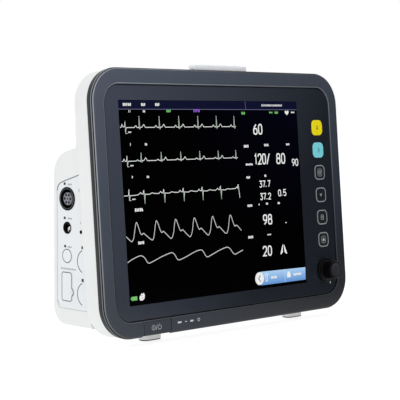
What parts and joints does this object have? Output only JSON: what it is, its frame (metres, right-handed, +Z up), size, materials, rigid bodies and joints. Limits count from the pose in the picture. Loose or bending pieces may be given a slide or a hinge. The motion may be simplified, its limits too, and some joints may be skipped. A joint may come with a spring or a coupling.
{
  "type": "patient monitor",
  "caption": "Bedside patient monitor with a large screen in a dark frame, a column of square keys, a press-and-turn knob, a top alarm light, side connectors and a folding rear handle.",
  "frame": {"origin": "centre of the footprint, on the table under the feet", "axes": "+Z up, -Y the way the screen faces, +X to the right of someone facing the screen"},
  "size_m": [0.342, 0.1558, 0.2544],
  "materials": {
    "frame_charcoal": "fine satin",
    "band_charcoal": "fine texture",
    "seal_black": "matt",
    "panel_gloss": "gloss",
    "screen_glass": "gloss",
    "window_clear": "gloss",
    "key_yellow": "satin",
    "key_blue": "satin",
    "key_dark": "satin",
    "power_charcoal": "satin",
    "knob_black": "gloss",
    "cap_grey": "satin",
    "lens_white": "translucent",
    "casing_white": "fine texture",
    "handle_white": "fine texture",
    "label_white": "satin",
    "socket_black": "satin",
    "insert_grey": "satin",
    "socket_dark": "satin",
    "blank_white": "satin",
    "door_white": "fine texture",
    "foot_grey": "matt",
    "steel": "brushed",
    "plated": "plated",
    "brass": "knurled",
    "sheet_metal": "pressed",
    "board_green": "solder mask",
    "chip_black": "moulded",
    "ribbon_amber": "film",
    "battery_black": "satin",
    "bay_grey": "satin",
    "fan_black": "satin",
    "speaker_paper": "paper",
    "pump_metal": "satin",
    "tube_clear": "silicone"
  },
  "bodies": {
    "monitor": {"air_tube": "tube_clear", "alarm_lens": "lens_white", "alarm_light_board": "board_green", "base_inserts": "brass", "battery_bay": "bay_grey", "battery_pack": "battery_black", "case_screws": "steel", "chassis_plate": "sheet_metal", "connector_plate": "casing_white", "display_module": "sheet_metal", "display_ribbon": "ribbon_amber", "ecg_insert": "insert_grey", "ecg_socket": "socket_black", "encoder_body": "chip_black", "fan_housing": "fan_black", "feet": "foot_grey", "frame_seal": "seal_black", "front_casing": "casing_white", "front_frame": "frame_charcoal", "front_panel": "panel_gloss", "gas_nozzle": "socket_dark", "ground_post": "plated", "handle_brackets": "casing_white", "inlet_pins": "plated", "keypad_board": "board_green", "keypad_switches": "chip_black", "large_blanks": "blank_white", "loudspeaker": "speaker_paper", "main_board": "board_green", "mains_inlet": "socket_black", "network_socket": "socket_black", "parameter_board": "board_green", "power_switch": "board_green", "pressure_pump": "pump_metal", "pressure_socket": "socket_dark", "rear_casing": "casing_white", "rear_panel": "casing_white", "release_valve": "pump_metal", "round_blank": "blank_white", "screen_glass": "screen_glass", "side_band": "band_charcoal", "side_label": "label_white", "slot_blank": "blank_white", "status_windows": "window_clear", "supply_board": "board_green", "supply_cover": "sheet_metal"},
    "key_1": {"key_1": "key_yellow"},
    "key_2": {"key_2": "key_blue"},
    "key_3": {"key_3": "key_dark"},
    "key_4": {"key_4": "key_dark"},
    "key_5": {"key_5": "key_dark"},
    "key_6": {"key_6": "key_dark"},
    "power_button": {"power_key": "power_charcoal"},
    "encoder_push": {"encoder_plunger": "chip_black"},
    "knob_turn": {"knob": "knob_black", "knob_cap": "cap_grey", "encoder_shaft": "steel"},
    "fan_wheel": {"fan_rotor": "fan_black"},
    "door": {"battery_door": "door_white"},
    "handle": {"carry_handle": "handle_white"}
  },
  "joints": [
    {"name": "key_1_press", "type": "slide", "parent": "monitor", "child": "key_1", "axis": [0, 0.9962, -0.0872], "range_m": [0, 0.0012], "stiffness_N_per_m": 800, "springref_m": -0.0004},
    {"name": "key_2_press", "type": "slide", "parent": "monitor", "child": "key_2", "axis": [0, 0.9962, -0.0872], "range_m": [0, 0.0012], "stiffness_N_per_m": 800, "springref_m": -0.0004},
    {"name": "key_3_press", "type": "slide", "parent": "monitor", "child": "key_3", "axis": [0, 0.9962, -0.0872], "range_m": [0, 0.0012], "stiffness_N_per_m": 800, "springref_m": -0.0004},
    {"name": "key_4_press", "type": "slide", "parent": "monitor", "child": "key_4", "axis": [0, 0.9962, -0.0872], "range_m": [0, 0.0012], "stiffness_N_per_m": 800, "springref_m": -0.0004},
    {"name": "key_5_press", "type": "slide", "parent": "monitor", "child": "key_5", "axis": [0, 0.9962, -0.0872], "range_m": [0, 0.0012], "stiffness_N_per_m": 800, "springref_m": -0.0004},
    {"name": "key_6_press", "type": "slide", "parent": "monitor", "child": "key_6", "axis": [0, 0.9962, -0.0872], "range_m": [0, 0.0012], "stiffness_N_per_m": 800, "springref_m": -0.0004},
    {"name": "power_press", "type": "slide", "parent": "monitor", "child": "power_button", "axis": [0, 0.9962, -0.0872], "range_m": [0, 0.0009], "stiffness_N_per_m": 900, "springref_m": -0.0004},
    {"name": "knob_press", "type": "slide", "parent": "monitor", "child": "encoder_push", "axis": [0, 0.9962, -0.0872], "range_m": [0, 0.0008], "stiffness_N_per_m": 1500, "springref_m": -0.0006},
    {"name": "knob_rotation", "type": "hinge", "parent": "encoder_push", "child": "knob_turn", "pos_m": [0.1372, -0.06222, 0.04661], "axis": [0, -0.9962, 0.0872], "continuous": true},
    {"name": "fan_spin", "type": "hinge", "parent": "monitor", "child": "fan_wheel", "pos_m": [0.05, 0.0601, 0.154], "axis": [0, 1, 0], "continuous": true},
    {"name": "door_hinge", "type": "hinge", "parent": "monitor", "child": "door", "pos_m": [0.051, 0.0667, 0.062], "axis": [0, 0, -1], "range_deg": [0, 95]},
    {"name": "handle_hinge", "type": "hinge", "parent": "monitor", "child": "handle", "pos_m": [0, 0.0019, 0.2396], "axis": [1, 0, 0], "range_deg": [0, 90]}
  ]
}
